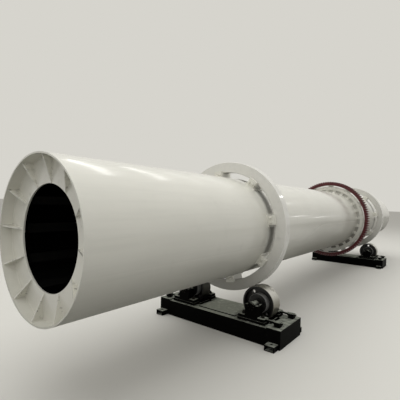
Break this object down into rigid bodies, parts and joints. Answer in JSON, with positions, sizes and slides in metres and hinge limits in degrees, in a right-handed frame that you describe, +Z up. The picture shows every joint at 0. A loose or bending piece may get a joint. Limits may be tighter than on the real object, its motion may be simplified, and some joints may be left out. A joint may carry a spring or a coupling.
{
  "type": "rotary drum dryer",
  "caption": "Rotary drum dryer: a long steel drum on tyres that turn on support rollers in base frames, driven through a girth gear on spring legs.",
  "frame": {"origin": "on the floor under the middle of the drum", "axes": "+X along the drum from its feed end to its discharge end, +Z up"},
  "size_m": [10.8, 1.7494, 2.0637],
  "materials": {
    "shell_paint": "glossy enamel paint",
    "tyre_paint": "glossy enamel paint",
    "inner_steel": "hot rolled, dark scale",
    "gear_red_paint": "satin primer",
    "frame_black_paint": "semi-gloss enamel paint",
    "adjuster_steel": "semi-gloss enamel paint",
    "roller_iron": "turned rim, black painted faces",
    "shaft_steel": "turned"
  },
  "bodies": {
    "root": {"front_frame_beams": "frame_black_paint", "front_cross_members": "frame_black_paint", "front_frame_end_plates": "frame_black_paint", "front_frame_top_plates": "frame_black_paint", "front_foot_plates": "frame_black_paint", "front_bearing_seats": "frame_black_paint", "front_bearing_bases": "frame_black_paint", "front_bearing_caps": "frame_black_paint", "front_bearing_covers": "frame_black_paint", "front_adjusters": "adjuster_steel", "rear_frame_beams": "frame_black_paint", "rear_cross_members": "frame_black_paint", "rear_frame_end_plates": "frame_black_paint", "rear_frame_top_plates": "frame_black_paint", "rear_foot_plates": "frame_black_paint", "rear_bearing_seats": "frame_black_paint", "rear_bearing_bases": "frame_black_paint", "rear_bearing_caps": "frame_black_paint", "rear_bearing_covers": "frame_black_paint", "rear_adjusters": "adjuster_steel"},
    "drum": {"drum_shell": "shell_paint", "feed_end_plate": "shell_paint", "discharge_end_plate": "shell_paint", "feed_end_gussets": "shell_paint", "discharge_end_gussets": "shell_paint", "lifting_flights": "inner_steel", "front_tyre": "tyre_paint", "rear_tyre": "tyre_paint", "front_tyre_pads": "shell_paint", "rear_tyre_pads": "shell_paint", "girth_gear_rim": "gear_red_paint", "girth_gear_web": "shell_paint", "gear_mount_ring": "shell_paint", "gear_spring_legs": "shell_paint"},
    "front_left_wheelset": {"front_left_roller": "roller_iron", "front_left_roller_shaft": "shaft_steel"},
    "front_right_wheelset": {"front_right_roller": "roller_iron", "front_right_roller_shaft": "shaft_steel"},
    "rear_left_wheelset": {"rear_left_roller": "roller_iron", "rear_left_roller_shaft": "shaft_steel"},
    "rear_right_wheelset": {"rear_right_roller": "roller_iron", "rear_right_roller_shaft": "shaft_steel"}
  },
  "joints": [
    {"name": "drum_spin", "type": "hinge", "parent": "root", "child": "drum", "pos_m": [0, 0, 1.23195], "axis": [1, 0, 0], "continuous": true},
    {"name": "front_left_roller_spin", "type": "hinge", "parent": "root", "child": "front_left_wheelset", "pos_m": [-3, 0.49765, 0.37], "axis": [1, 0, 0], "continuous": true},
    {"name": "front_right_roller_spin", "type": "hinge", "parent": "root", "child": "front_right_wheelset", "pos_m": [-3, -0.49765, 0.37], "axis": [1, 0, 0], "continuous": true},
    {"name": "rear_left_roller_spin", "type": "hinge", "parent": "root", "child": "rear_left_wheelset", "pos_m": [3, 0.49765, 0.37], "axis": [1, 0, 0], "continuous": true},
    {"name": "rear_right_roller_spin", "type": "hinge", "parent": "root", "child": "rear_right_wheelset", "pos_m": [3, -0.49765, 0.37], "axis": [1, 0, 0], "continuous": true}
  ],
  "couplings": [
    {"joint": "front_left_roller_spin", "follows": "drum_spin", "ratio": -3.975},
    {"joint": "front_right_roller_spin", "follows": "drum_spin", "ratio": -3.975},
    {"joint": "rear_left_roller_spin", "follows": "drum_spin", "ratio": -3.975},
    {"joint": "rear_right_roller_spin", "follows": "drum_spin", "ratio": -3.975}
  ]
}
